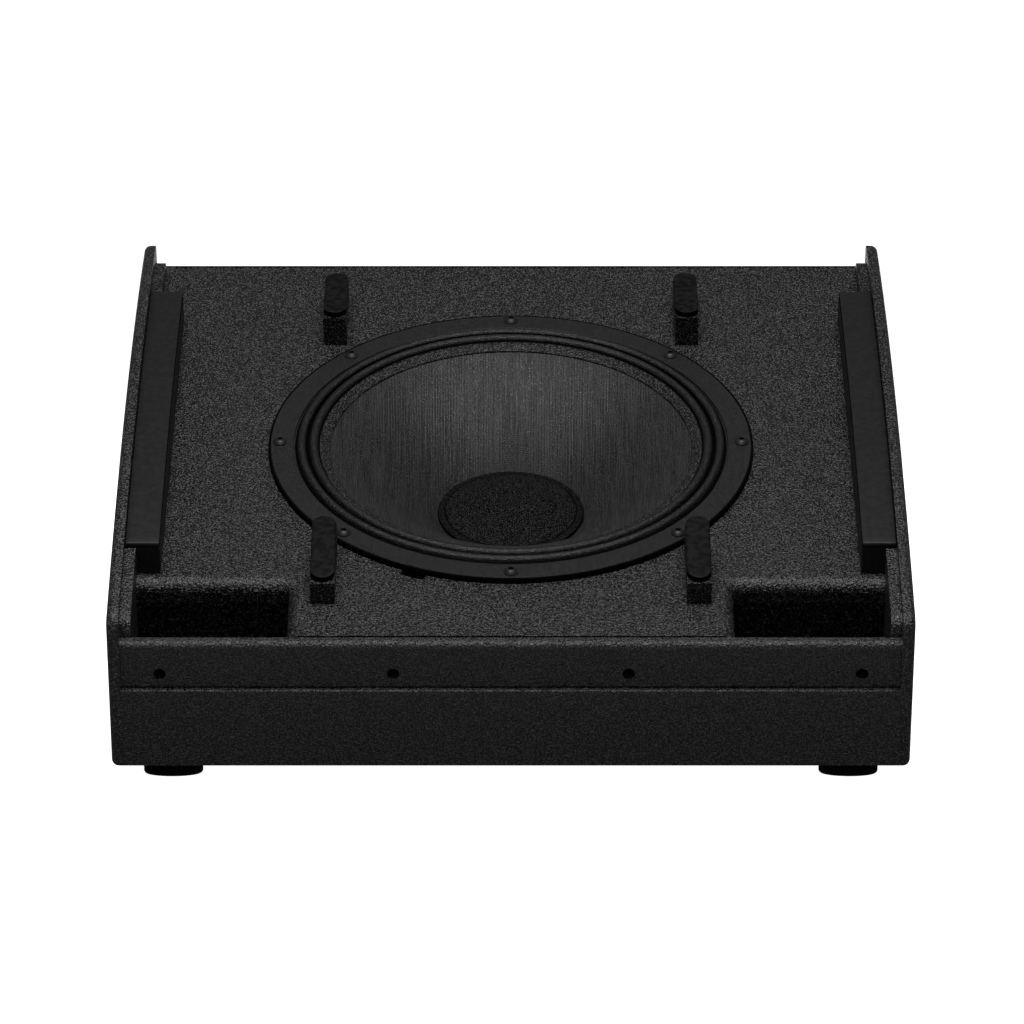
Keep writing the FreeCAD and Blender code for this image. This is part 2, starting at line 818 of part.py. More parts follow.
def moving_parts():
    """Cone, dust cap, voice-coil former and winding, which move as one along the driver's axis."""
    neck_low = -d.cone_deep
    flare = 330.0
    turned("cone", [
        (d.cone_neck, neck_low - 1.2),
        (d.cone_neck + 1.2, neck_low - 1.2, -flare),
        (d.cone_edge + 0.6, d.cone_rim - 1.0),
        (d.cone_edge, d.cone_rim, flare),
        (d.cone_neck, neck_low),
    ], BAFFLE)
    rim = -d.cap_deep
    turned("dust_cap", [
        (0, rim + 10.2),
        (2.0, rim + 10.2, -170.0),
        (d.cap_radius - 3, rim + 0.6),
        (d.cap_radius - 1.8, rim - 1.4),
        (d.cap_radius - 0.8, rim - 1.0),
        (d.cap_radius - 1.0, rim + 1.2, 171.0),
        (2.0, rim + 11.2),
        (0, rim + 11.2),
    ], BAFFLE)
    turned("voice_coil_former", tube_outline(50.3, d.cone_neck - 0.35, -113.0, neck_low), BAFFLE)
    turned("voice_coil", tube_outline(d.coil_radius, d.coil_radius + 1.0, -112.0, -96.0), BAFFLE)


def motor():
    """Steel top plate, ring magnet, and back plate with a pole that is bored as the horn's throat."""
    plate_low = -(d.plate_top + d.plate_thick)
    magnet_low = plate_low - d.magnet_thick
    back_low = magnet_low - d.back_plate_thick
    turned("top_plate", tube_outline(53.2, 90.0, plate_low, -d.plate_top), BAFFLE)
    turned("magnet_ring", tube_outline(58.0, d.magnet_radius, magnet_low, plate_low), BAFFLE)
    turned("pole_piece", [
        (d.throat_radius, back_low),
        (d.magnet_radius - 4, back_low),
        (d.magnet_radius, back_low + 4),
        (d.magnet_radius, magnet_low),
        (49.0, magnet_low),
        (49.0, -d.plate_top + 2),
        (24.0, -d.plate_top + 2),
    ], BAFFLE)
    return back_low


def compression_driver(front):
    """High-frequency driver bolted to the back plate; its diaphragm faces the throat."""
    plate = 6.0
    magnet = 12.0
    turned("hf_front_plate", tube_outline(d.throat_radius, d.hf_radius, front - plate, front), BAFFLE)
    low = front - plate
    turned("hf_magnet", tube_outline(28.0, d.hf_radius - 2, low - magnet, low), BAFFLE)
    low = low - magnet
    plate_body = turn("hf_plate_turned", tube_outline(26.2, d.hf_radius, low - 4, low))
    turned("hf_phase_plug", [
        (d.throat_radius, low - 4),
        (24.0, low - 3),
        (24.0, front - plate),
        (d.throat_radius, front - plate),
    ], BAFFLE)
    seat = low - 4
    turned("hf_diaphragm", [
        (0, seat - 8.4),
        (24.6, seat - 1.6),
        (32.0, seat - 1.6),
        (32.0, seat - 1.2),
        (24.6, seat - 1.2),
        (0, seat - 8.0),
    ], BAFFLE)
    turned("hf_voice_coil", tube_outline(24.6, 25.5, seat - 1.1, seat + 3.0), BAFFLE)
    body = turn("hf_cover_turned", [
        (34.0, seat),
        (34.0, seat - 3),
        (36.5, seat - 15),
        (0, seat - 18),
        (0, seat - 20),
        (38.0, seat - 17),
        (d.hf_radius, seat - 4),
        (d.hf_radius, seat),
    ])
    spots = [turned_by.multVec(Vector(38.0, 0, 0)) for turned_by in around(4)]
    tools = [rod("cover_hole", (spot.x, spot.y, seat - 30), (0, 0, 1), 2.2, 40) for spot in spots]
    tools += [rod("cover_sink", (spot.x, spot.y, seat - 30), (0, 0, 1), 3.8, 22) for spot in spots]
    publish(without("hf_cover_cut", body, tools), "hf_rear_cover", BAFFLE)
    holes = [rod("hf_plate_hole", (spot.x, spot.y, seat - 5), (0, 0, 1), 2.1, 20) for spot in spots]
    publish(without("hf_plate_cut", plate_body, holes), "hf_top_plate", BAFFLE)
    screw = [(0, 0), (3.4, 0), (3.4, 3.0), (2.0, 3.0), (2.0, 14.5), (0, 14.5)]
    copies("hf_screws", turn("hf_screw_turned", screw), [at(BAFFLE, spot.x, spot.y, seat - 11) for spot in spots])


def driver_terminals():
    """Terminal block under one of the basket's legs, with two posts for the leads."""
    body = new_body("terminal_block")
    pad(body, "YZ_Plane", [(98.0, -94.4), (126.0, -69.3), (126.0, -61.3), (98.0, -86.4)], -18.0, 36.0)
    posts_down = [rod("terminal_%d" % number, (x, TERMINAL_ALONG, TERMINAL_OUT), (0, 0, 1), 3.0, 14)
                  for number, x in enumerate((-TERMINAL_SIDE, TERMINAL_SIDE))]
    publish(joined("terminals_joined", [body] + posts_down), "driver_terminals", BAFFLE)


# ---------------------------------------------------------------- electrics

TERMINAL_SIDE = 11.0
TERMINAL_ALONG = 116.0
TERMINAL_OUT = -90.0
BOARD_LOW = 33.0
BOARD_X = 20.0
BOARD_Y = 112.0


def crossover():
    """Passive crossover on a board that stands on spacers behind the driver."""
    board = box("crossover_sheet", (BOARD_X, BOARD_Y, BOARD_LOW), (180, 110, 1.6))
    spots = [(BOARD_X + x, BOARD_Y + y) for x in (8, 172) for y in (8, 102)]
    holes = [rod("board_hole_%d" % number, (x, y, BOARD_LOW - 5), (0, 0, 1), 2.2, 10)
             for number, (x, y) in enumerate(spots)]
    publish(without("crossover_cut", board, holes), "crossover_board")
    spacer = [(2.1, 0), (5.0, 0), (5.0, 8.0), (2.1, 8.0)]
    floor = d.foot_high + d.wall_thick
    copies("crossover_spacers", turn("spacer_turned", spacer), [at(ROW, x, y, floor) for x, y in spots])
    top = BOARD_LOW + 1.6
    coils = [
        turn_at("coil_a", tube_outline(12.0, 27.0, 0, 24.0), BOARD_X + 50, BOARD_Y + 66, top),
        turn_at("coil_b", tube_outline(10.0, 21.0, 0, 18.0), BOARD_X + 102, BOARD_Y + 80, top),
        turn_at("coil_c", tube_outline(9.0, 17.0, 0, 14.0), BOARD_X + 146, BOARD_Y + 84, top),
    ]
    group("crossover_inductors", coils)
    cans = [rod("capacitor_%d" % number, (BOARD_X + 78, BOARD_Y + y, top + 11.2), (1, 0, 0), 11, 46)
            for number, y in enumerate((14, 38))]
    cans.append(rod("capacitor_small", (BOARD_X + 134, BOARD_Y + 26, top + 8.2), (1, 0, 0), 8, 34))
    group("crossover_capacitors", cans)


def turn_at(name, outline, x, y, z):
    body = turn(name, outline)
    body.Placement = at(ROW, x, y, z)
    return body


def connector_plate():
    """Steel plate in the back panel with two round four-pole speaker sockets."""
    seat = d.back_reach - 5
    plate = box("plate_sheet", (-d.plate_side - d.plate_wide / 2, seat, d.plate_up - d.plate_tall / 2),
                (d.plate_wide, 2, d.plate_tall))
    tools = [rod("socket_cutout_%d" % number, (x, seat - 10, d.plate_up), (0, 1, 0), 13.8, 20)
             for number, x in enumerate(socket_sides())]
    for number, (x, z, depth) in enumerate(rear_screw_spots()):
        if depth > 2:
            tools.append(rod("plate_hole_%d" % number, (x, seat - 10, z), (0, 1, 0), 2.2, 20))
    publish(without("plate_cut", plate, tools), "connector_plate")
    sockets = [speaker_socket("socket_%d" % number, x, seat + 2) for number, x in enumerate(socket_sides())]
    group("speaker_sockets", sockets)


def socket_sides():
    return [-d.plate_side - d.socket_pitch, -d.plate_side + d.socket_pitch]


def speaker_socket(name, x, face):
    """Square flange, round body behind it, and a ring-shaped well around a central stem."""
    flange = box(name + "_flange", (x - 16, face, d.plate_up - 16), (32, 3, 32))
    body = rod(name + "_body", (x, face - 30, d.plate_up), (0, 1, 0), 13.6, 31)
    well = rod(name + "_well", (x, face - 18, d.plate_up), (0, 1, 0), 12.0, 30)
    stem = rod(name + "_stem", (x, face - 20, d.plate_up), (0, 1, 0), 5.2, 21)
    hollow = without(name + "_hollow", joined(name + "_shell", [flange, body]), [well])
    return joined(name, [hollow, stem])


def handle():
    """Pressed steel dish set into the back panel with a rubber-covered bar across it."""
    seat = d.back_reach - 3.5
    wide = d.handle_wide - 30
    tall = d.handle_tall - 30
    deep = d.handle_deep
    flange = box("handle_flange", (-d.handle_wide / 2, seat, d.handle_up - d.handle_tall / 2),
                 (d.handle_wide, 2, d.handle_tall))
    shell = box("handle_shell", (-wide / 2, seat - deep, d.handle_up - tall / 2), (wide, deep + 1, tall))
    hollow = box("handle_hollow", (-wide / 2 + 2, seat - deep + 2, d.handle_up - tall / 2 + 2),
                 (wide - 4, deep + 10, tall - 4))
    tools = [hollow]
    for number, (x, z, depth) in enumerate(rear_screw_spots()):
        if depth < 2:
            tools.append(rod("handle_hole_%d" % number, (x, seat - 10, z), (0, 1, 0), 2.2, 20))
    publish(without("handle_cut", joined("handle_pressing", [flange, shell]), tools), "handle_dish")
    bar = rod("handle_grip", (-wide / 2 + 2, seat - 12, d.handle_up), (1, 0, 0), 9.0, wide - 4)
    publish(bar, "handle_bar")


def rear_screws():
    """Pan-head wood screws of the handle and the connector plate."""
    outline = [(0, -14.0), (1.9, -14.0), (1.9, 0), (3.8, 0), (3.8, 0.6, 4.2), (1.2, 1.5), (0, 1.5)]
    outwards = FreeCAD.Rotation(Vector(0, 0, 1), Vector(0, 1, 0))
    copies("rear_screws", turn("rear_screw_turned", outline),
           [at(ROW, x, d.back_reach - depth, z, outwards) for x, z, depth in rear_screw_spots()])


def cable(name, points, radius):
    """Tube along straight runs joined by tangent arcs, each as large as its two runs allow."""
    places = [Vector(*point) for point in points]
    edges = []
    start = places[0]
    for before, corner, after in zip(places, places[1:], places[2:]):
        into = (corner - before).normalize()
        out = (after - corner).normalize()
        half_turn = into.getAngle(out) / 2
        run = 0.45 * min(before.distanceToPoint(corner), corner.distanceToPoint(after))
        bend = run / math.tan(half_turn)
        first = corner - into * run
        last = corner + out * run
        inward = (out - into).normalize()
        middle = corner + inward * (bend / math.cos(half_turn) - bend)
        edges.append(Part.LineSegment(start, first).toShape())
        edges.append(Part.Arc(first, middle, last).toShape())
        start = last
    edges.append(Part.LineSegment(start, places[-1]).toShape())
    path = Part.Wire(edges)
    section = Part.Wire(Part.makeCircle(radius, places[0], places[1] - places[0]))
    feature = DOC.addObject("Part::Feature", name)
    feature.Shape = path.makePipeShell([section], True, False)
    return feature


def wiring():
    """Leads from the sockets to the crossover and from there to the two drivers."""
    top = BOARD_LOW + 1.6
    back = d.back_reach.value
    edge = BOARD_X + 10
    feed = [(-175, back - 20, 128), (-172, back - 34, 126), (-160, back - 52, 112), (-138, back - 66, 92),
            (-100, back - 74, 74), (-60, back - 78, 62), (-20, back - 82, 58), (edge - 10, back - 84, 56),
            (edge, back - 86, top + 12), (edge, back - 86, top)]
    post = at(BAFFLE, TERMINAL_SIDE, TERMINAL_ALONG, TERMINAL_OUT)
    low = [post.multVec(Vector(*offset)) for offset in ((0, 0, 0), (0, 0, -14), (14, 6, -34), (44, 4, -60))]
    low = [tuple(place) for place in low]
    side = BOARD_X + 168
    low += [(BOARD_X + 90, BOARD_Y + 62, 140), (BOARD_X + 140, BOARD_Y + 56, 100), (side, BOARD_Y + 52, 66),
            (side, BOARD_Y + 52, top)]
    high = [(BOARD_X + 66, BOARD_Y + 20, top), (BOARD_X + 66, BOARD_Y + 20, top + 12),
            (BOARD_X + 52, BOARD_Y + 8, top + 26), (BOARD_X + 34, BOARD_Y - 2, top + 34)]
    group("speaker_wiring", [cable(name, points, 3.0)
                             for name, points in (("feed_lead", feed), ("low_lead", low), ("high_lead", high))])


# ---------------------------------------------------------------- feet

def foot_spots():
    heel_back = d.axis_back + HEEL[0] * COS - HEEL[1] * SIN
    front = heel_back + d.foot_inset
    rear = d.back_reach - d.foot_inset - 14
    return [(x, y) for y in (front, rear) for x in (-d.foot_side, d.foot_side)]


def touches_floor(edge):
    """The outer edge of a foot's underside."""
    reach = edge.BoundBox
    return abs(reach.ZMax) < 0.01 and reach.XMax > d.foot_radius.value - 0.1


def feet():
    """Round rubber feet, each held by one screw up into the bottom panel."""
    outline = [
        (2.6, 5.0),
        (7.0, 5.0),
        (7.0, 0),
        (d.foot_radius, 0),
        (d.foot_radius, d.foot_high),
        (2.6, d.foot_high),
    ]
    labels = ("foot_front_left", "foot_front_right", "foot_rear_left", "foot_rear_right")
    spots = foot_spots()
    for label, (x, y) in zip(labels, spots):
        body = turn(label, outline)
        round_edges(body, d.foot_round, touches_floor)
        publish(body, label, at(ROW, x, y, 0))
    screw = [(0, 1.8), (6.0, 1.8), (6.0, 3.6), (2.3, 5.0), (2.3, 18.0), (0, 19.5)]
    copies("foot_screws", turn("foot_screw_turned", screw), [at(ROW, x, y, 0) for x, y in spots])


# ---------------------------------------------------------------- build and export

def build():
    cabinet_sides()
    baffle()
    front_panel()
    grille_inserts()
    bottom_panel()
    top_panel()
    back_panel()
    port_ducts()
    braces()
    side_trim()
    posts()
    driver_frame_parts()
    driver_bolts()
    soft_parts()
    moving_parts()
    compression_driver(motor())
    driver_terminals()
    crossover()
    connector_plate()
    handle()
    rear_screws()
    wiring()
    feet()
    DOC.recompute()


def check():
    """Stops before anything is written if a feature failed or a node isn't a sound solid."""
    for thing in DOC.Objects:
        if "Invalid" in thing.State or "Error" in thing.State:
            raise RuntimeError("%s is in state %s" % (thing.Name, thing.State))
    for node in NODES:
        if node.Shape.isNull() or not node.Shape.isValid() or not node.Shape.Solids:
            raise RuntimeError("%s has no sound shape" % node.Label)


def export():
    os.makedirs("parts", exist_ok=True)
    for node in NODES:
        node.Shape.exportStep("parts/%s.step" % node.Label)


build()
check()
export()
print("%d nodes" % len(NODES))
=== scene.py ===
"""Looks of the stage monitor wedge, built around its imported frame."""
import json
import math

import bmesh
import bpy
from mathutils import Matrix, Vector


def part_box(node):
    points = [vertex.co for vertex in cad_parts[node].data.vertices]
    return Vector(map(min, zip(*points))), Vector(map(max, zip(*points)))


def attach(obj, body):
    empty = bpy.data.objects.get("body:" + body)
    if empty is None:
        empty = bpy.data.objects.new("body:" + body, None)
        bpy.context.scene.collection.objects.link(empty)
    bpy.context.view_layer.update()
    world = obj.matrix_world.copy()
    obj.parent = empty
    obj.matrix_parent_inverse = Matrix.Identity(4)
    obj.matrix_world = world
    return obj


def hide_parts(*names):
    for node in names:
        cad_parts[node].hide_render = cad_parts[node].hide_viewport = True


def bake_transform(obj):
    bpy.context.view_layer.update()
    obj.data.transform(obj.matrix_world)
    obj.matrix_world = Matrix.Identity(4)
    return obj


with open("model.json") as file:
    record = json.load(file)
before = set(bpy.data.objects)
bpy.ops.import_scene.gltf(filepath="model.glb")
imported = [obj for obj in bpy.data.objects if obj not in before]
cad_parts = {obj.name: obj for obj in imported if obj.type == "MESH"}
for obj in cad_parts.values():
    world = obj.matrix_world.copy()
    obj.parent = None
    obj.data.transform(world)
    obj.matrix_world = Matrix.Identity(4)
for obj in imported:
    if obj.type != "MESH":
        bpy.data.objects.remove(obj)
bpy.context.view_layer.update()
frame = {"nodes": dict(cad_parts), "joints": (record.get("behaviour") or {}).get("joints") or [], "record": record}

# ---------------------------------------------------------------- places taken from the frame

SLIDE = next(joint for joint in frame["joints"] if joint["name"] == "cone_slide")
OUT = Vector(SLIDE["axis"]).normalized()                 # out of the baffle
ALONG = Vector((0.0, OUT.z, -OUT.y))                     # up the baffle's slope
SIDEWAYS = Vector((1.0, 0.0, 0.0))


def middle(node):
    low, high = (Vector(corner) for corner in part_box(node))
    return (low + high) / 2


def extent(node):
    low, high = (Vector(corner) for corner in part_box(node))
    return high - low


# The gasket lies on the baffle, so its underside is the baffle's surface at the driver's axis. Its height along
# the axis follows from the two sides of its upright box.
GASKET_BOX = extent("driver_gasket")
GASKET_HIGH = (GASKET_BOX.z * OUT.z + GASKET_BOX.y * OUT.y) / (OUT.z ** 2 - OUT.y ** 2)
RING_TOP = 0.005                                         # of the gasket's outer lip, over the baffle
AXIS_POINT = middle("driver_gasket") - OUT * GASKET_HIGH / 2


def place(x, along, out):
    """A point given along X, up the baffle's slope and out of its surface, from the driver's axis."""
    return AXIS_POINT + SIDEWAYS * x + ALONG * along + OUT * out


TILT_BACK = -math.asin(-OUT.y)                           # turn about X that stands the driver's axis upright
# From the baffle's own frame, whose axes are X, up the slope and out of it, to the world.
TO_ROW = Matrix.Translation(AXIS_POINT) @ Matrix((SIDEWAYS, ALONG, OUT)).transposed().to_4x4()

# ---------------------------------------------------------------- camera, lights and floor

SENSOR = 36.0
LENS = 197.5
DISTANCE = 4.5042
LOOK_DOWN = math.radians(5.33)
RING_ABOVE_VIEW_AXIS = 0.0560
CAMERA_SIDE = 0.0009


def make_camera():
    """Long lens in front of the wedge, looking down on it a little, with no turn or roll."""
    forward = Vector((0.0, math.cos(LOOK_DOWN), -math.sin(LOOK_DOWN)))
    upward = Vector((0.0, math.sin(LOOK_DOWN), math.cos(LOOK_DOWN)))
    data = bpy.data.cameras.new("photo_camera")
    data.sensor_width = SENSOR
    data.lens = LENS
    data.clip_end = 50.0
    camera = bpy.data.objects.new("photo_camera", data)
    bpy.context.collection.objects.link(camera)
    ring = place(0, 0, RING_TOP)
    camera.location = ring - forward * DISTANCE - upward * RING_ABOVE_VIEW_AXIS + SIDEWAYS * CAMERA_SIDE
    camera.rotation_euler = (math.pi / 2 - LOOK_DOWN, 0.0, 0.0)
    bpy.context.scene.camera = camera


def area_light(name, location, target, size, power):
    data = bpy.data.lights.new(name, "AREA")
    data.shape = "RECTANGLE"
    data.size, data.size_y = size
    data.energy = power
    lamp = bpy.data.objects.new(name, data)
    bpy.context.collection.objects.link(lamp)
    lamp.location = location
    lamp.rotation_euler = (Vector(target) - Vector(location)).to_track_quat("-Z", "Y").to_euler()
    return lamp


FLOOR_GREY = 0.92
WORLD_STRENGTH = 0.15
WHITE = (1.0, 1.0, 1.0, 1.0)


def make_stage():
    """Pale floor that curves up into a backdrop, and soft studio light from above, in front and behind."""
    floor_half = 12.0
    bend = 3.0
    rise = 6.0
    start = 6.0
    steps = 16
    profile = [(-floor_half, 0.0), (start, 0.0)]
    for step in range(1, steps + 1):
        turn = math.pi / 2 * step / steps
        profile.append((start + bend * math.sin(turn), bend - bend * math.cos(turn)))
    profile.append((start + bend, rise))
    shape = bmesh.new()
    rows = [[shape.verts.new((x, y, z)) for x in (-floor_half, floor_half)] for y, z in profile]
    for near_row, far_row in zip(rows, rows[1:]):
        shape.faces.new((near_row[0], near_row[1], far_row[1], far_row[0]))
    mesh = bpy.data.meshes.new("studio_floor")
    shape.to_mesh(mesh)
    shape.free()
    mesh.shade_smooth()
    floor = bpy.data.objects.new("studio_floor", mesh)
    bpy.context.collection.objects.link(floor)
    material = bpy.data.materials.new("pale_floor")
    material.use_nodes = True
    shader = material.node_tree.nodes["Principled BSDF"]
    shader.inputs["Base Color"].default_value = (FLOOR_GREY, FLOOR_GREY, FLOOR_GREY, 1.0)
    shader.inputs["Roughness"].default_value = 0.9
    shader.inputs["Emission Color"].default_value = WHITE
    shader.inputs["Emission Strength"].default_value = 1.0
    floor.data.materials.append(material)
    world = bpy.data.worlds.new("studio")
    world.use_nodes = True
    sky = world.node_tree.nodes["Background"]
    sky.inputs["Color"].default_value = WHITE
    sky.inputs["Strength"].default_value = WORLD_STRENGTH
    bpy.context.scene.world = world
    floor.visible_glossy = False
    floor.visible_diffuse = False
    area_light("key", (0.0, -1.6, 2.8), (0.0, 0.0, 0.2), (1.8, 1.2), 104.0)
    area_light("fill", (0.0, -3.4, 1.4), (0.0, 0.0, 0.2), (2.4, 1.2), 6.0)
    area_light("rear", (0.0, 2.6, 0.6), (0.0, 0.4, 0.2), (1.8, 0.6), 9.0)
    bounce = area_light("floor_bounce", (0.0, -0.36, 0.012), (0.0, -0.3, 0.1), (0.8, 0.14), 0.09)
    bounce.visible_camera = False
    bpy.context.scene.view_settings.view_transform = "Standard"


make_camera()
make_stage()

# ---------------------------------------------------------------- looks

NOISE_SPAN = (0.3, 0.7)         # range that holds nearly all of a noise


class Look:
    """A Principled material whose colour, roughness and relief come from maps in the object's own coordinates."""

    def __init__(self, name, colour, roughness, specular=0.5, metallic=0.0):
        self.name = name
        self.material = bpy.data.materials.new(name)
        self.material.use_nodes = True
        self.tree = self.material.node_tree
        self.shader = self.tree.nodes["Principled BSDF"]
        self.shader.inputs["Base Color"].default_value = (*colour, 1.0)
        self.shader.inputs["Roughness"].default_value = roughness
        self.shader.inputs["Specular IOR Level"].default_value = specular
        self.shader.inputs["Metallic"].default_value = metallic
        self.relief = None
        self.where = self.add("TexCoord").outputs["Object"]

    def add(self, kind, **settings):
        made = self.tree.nodes.new("ShaderNode" + kind)
        for key, value in settings.items():
            setattr(made, key, value)
        return made

    def wire(self, source, target):
        self.tree.links.new(source, target)

    def spread(self, stretch=None, turn=0.0):
        """The coordinates, turned about X by an angle or scaled on each axis."""
        if stretch is None and not turn:
            return self.where
        mapping = self.add("Mapping")
        mapping.inputs["Rotation"].default_value = (turn, 0.0, 0.0)
        mapping.inputs["Scale"].default_value = stretch or (1.0, 1.0, 1.0)
        self.wire(self.where, mapping.inputs["Vector"])
        return mapping.outputs["Vector"]

    def noise(self, size, detail=2.0, rough=0.5, stretch=None, twist=0.0):
        """Soft random spots about this many metres apart, longer where the stretch is under one."""
        made = self.add("TexNoise")
        made.inputs["Scale"].default_value = 1.0 / size
        made.inputs["Detail"].default_value = detail
        made.inputs["Roughness"].default_value = rough
        made.inputs["Distortion"].default_value = twist
        self.wire(self.spread(stretch), made.inputs["Vector"])
        return made.outputs["Fac"]

    def cells(self, size, feature="F1"):
        """Cells about this many metres apart: distance from each middle, or from the nearest edge."""
        made = self.add("TexVoronoi", feature=feature)
        made.inputs["Scale"].default_value = 1.0 / size
        self.wire(self.where, made.inputs["Vector"])
        return made.outputs["Distance"]

    def bands(self, pitch, axis, turn=0.0):
        """Waves this many metres apart across one axis. The node's own wave is pi / 10 long."""
        made = self.add("TexWave", wave_type="BANDS", bands_direction=axis)
        made.inputs["Scale"].default_value = math.pi / 10 / pitch
        self.wire(self.spread(None, turn), made.inputs["Vector"])
        return made.outputs["Fac"]

    def levels(self, source, low, high, to_low=0.0, to_high=1.0):
        """The source carried from one range to another, and held at its ends."""
        made = self.add("MapRange")
        self.wire(source, made.inputs["Value"])
        for name, value in (("From Min", low), ("From Max", high), ("To Min", to_low), ("To Max", to_high)):
            made.inputs[name].default_value = value
        return made.outputs["Result"]

    def sums(self, first, second):
        made = self.add("Math", operation="ADD")
        for slot, source in zip(made.inputs, (first, second)):
            self.wire(source, slot)
        return made.outputs["Value"]

    def tint(self, source, *stops):
        """Base colour from a ramp of (position, colour) stops."""
        ramp = self.add("ValToRGB")
        elements = ramp.color_ramp.elements
        while len(elements) < len(stops):
            elements.new(0.5)
        for element, (position, colour) in zip(elements, stops):
            element.position = position
            element.color = (*colour, 1.0)
        self.wire(source, ramp.inputs["Fac"])
        self.wire(ramp.outputs["Color"], self.shader.inputs["Base Color"])

    def shades(self, source, low, high, dark, light):
        """Base colour that goes from dark to light while the source goes from low to high."""
        self.tint(self.levels(source, low, high), (0.0, dark), (1.0, light))

    def gloss(self, source, at_low, at_high):
        """Roughness at the low and at the high spots of a noise."""
        self.wire(self.levels(source, *NOISE_SPAN, at_low, at_high), self.shader.inputs["Roughness"])

    def raised(self, source, height, strength=1.0):
        """Adds relief this many metres high."""
        bump = self.add("Bump")
        bump.inputs["Distance"].default_value = height
        bump.inputs["Strength"].default_value = strength
        self.wire(source, bump.inputs["Height"])
        if self.relief is not None:
            self.wire(self.relief, bump.inputs["Normal"])
        self.relief = bump.outputs["Normal"]
        self.wire(self.relief, self.shader.inputs["Normal"])


def grey(value):
    return (value, value, value)


def darker(colour, share):
    return tuple(part * share for part in colour)


def speckled(name, dark, light, rough, specular, grain, height, low=0.56, high=0.68):
    """Sprayed textured coating: relief of rounded lumps, under finer spots whose light ones are duller."""
    spot_size, lump_size, brightest = grain * 0.9, grain * 1.35, light * 1.25
    look = Look(name, grey((dark + light) / 2), rough, specular)
    spots = look.noise(spot_size, 0.0)
    look.shades(spots, low, high, grey(dark), grey(brightest))
    look.gloss(spots, rough - 0.15, rough + 0.19)
    look.raised(look.noise(lump_size, 1.0), height)
    return look


def foam(name, dark, light, rough, cell, height, specular):
    """Closed-cell foam: faint cells in the skin and wider soft mottling."""
    mottle_size, softness = 0.005, 0.5
    look = Look(name, grey((dark + light) / 2), rough, specular)
    mottle = look.noise(mottle_size)
    look.shades(mottle, 0.4, 0.6, grey(dark), grey(light))
    look.gloss(mottle, rough - 0.04, rough + 0.04)
    look.raised(look.cells(cell), height, softness)
    look.raised(look.noise(mottle_size, 1.0), height * 2, softness)
    return look


def metal(name, colour, rough, metallic=1.0, specular=0.5):
    """Metal with a fine matt grain and a slightly uneven finish."""
    mark_size, blotch_size, blotch_shade = 0.0008, 0.012, 0.8
    look = Look(name, colour, rough, specular, metallic)
    marks = look.noise(mark_size, 3.0, 0.6)
    look.shades(look.noise(blotch_size), *NOISE_SPAN, darker(colour, blotch_shade), colour)
    look.gloss(marks, rough - 0.06, rough + 0.08)
    look.raised(marks, 0.00004)
    return look


def moulded(name, colour, rough=0.45, grain=0.0009, height=0.00004, specular=0.45):
    """Injection-moulded plastic or rubber with a spark-eroded grain."""
    cloud_size, cloud_shade = 0.02, 0.75
    look = Look(name, colour, rough, specular)
    pits = look.noise(grain, 2.0, 0.6)
    look.shades(look.noise(cloud_size), *NOISE_SPAN, darker(colour, cloud_shade), colour)
    look.gloss(pits, rough - 0.06, rough + 0.08)
    look.raised(pits, height)
    return look


def plywood(name):
    """Sanded birch faces with long soft grain; the plies show as faint bands on cut edges."""
    grain_size, ply, ply_share = 0.004, 0.0028, 0.08
    look = Look(name, (0.42, 0.30, 0.19), 0.6, 0.3)
    grain = look.noise(grain_size, 4.0, 0.6, (1.0, 0.08, 1.0), twist=0.6)
    plies = look.levels(look.bands(ply, "Z"), 0.0, 1.0, -ply_share, ply_share)
    both = look.levels(look.sums(grain, plies), *NOISE_SPAN)
    look.tint(both, (0.0, (0.30, 0.19, 0.10)), (0.6, (0.45, 0.32, 0.20)), (1.0, (0.55, 0.42, 0.28)))
    look.gloss(grain, 0.5, 0.7)
    look.raised(grain, 0.0001)
    return look


def rolled_paint(name):
    """Thin black paint on sanded wood: the grain telegraphs through as fine lines."""
    grain_size, peel_size = 0.0022, 0.0016
    look = Look(name, grey(0.006), 0.55, 0.22)
    grain = look.noise(grain_size, 3.0, 0.6, (1.0, 0.25, 0.25))
    orange_peel = look.noise(peel_size)
    look.shades(grain, 0.35, 0.65, grey(0.004), grey(0.009))
    look.gloss(orange_peel, 0.5, 0.6)
    look.raised(grain, 0.00012)
    look.raised(orange_peel, 0.0002)
    return look


def woven(name, dark, light, pitch, rough, height, specular, streaks):
    """Cloth with threads along and across, some of them lighter for a long way, and light glossy flecks."""
    cross_pitch, streak_size, fleck_size = pitch * 0.93, pitch * 1.2, pitch * 0.55
    long_share, cross_share, fleck_share = 0.45, 0.2, 1.5
    along_thread = (1.0, 0.03, 0.03)
    look = Look(name, grey((dark + light) / 2), rough, specular)
    fleck = look.noise(fleck_size, 0.0, 0.5, (1.0, 0.8, 0.8))
    long_threads = look.levels(look.bands(pitch, "X"), 0.0, 1.0, 0.0, long_share)
    cross_threads = look.levels(look.bands(cross_pitch, "Y"), 0.0, 1.0, 0.0, cross_share)
    streaked = look.levels(look.noise(streak_size, 1.0, 0.6, along_thread), *NOISE_SPAN, 0.0, streaks)
    flecked = look.levels(fleck, 0.5, 0.64, 0.0, fleck_share)
    pattern = look.sums(look.sums(look.sums(long_threads, cross_threads), streaked), flecked)
    look.shades(pattern, 0.5, 1.4, grey(dark), grey(light))
    look.gloss(fleck, rough + 0.1, rough - 0.1)
    look.raised(pattern, height)
    return look


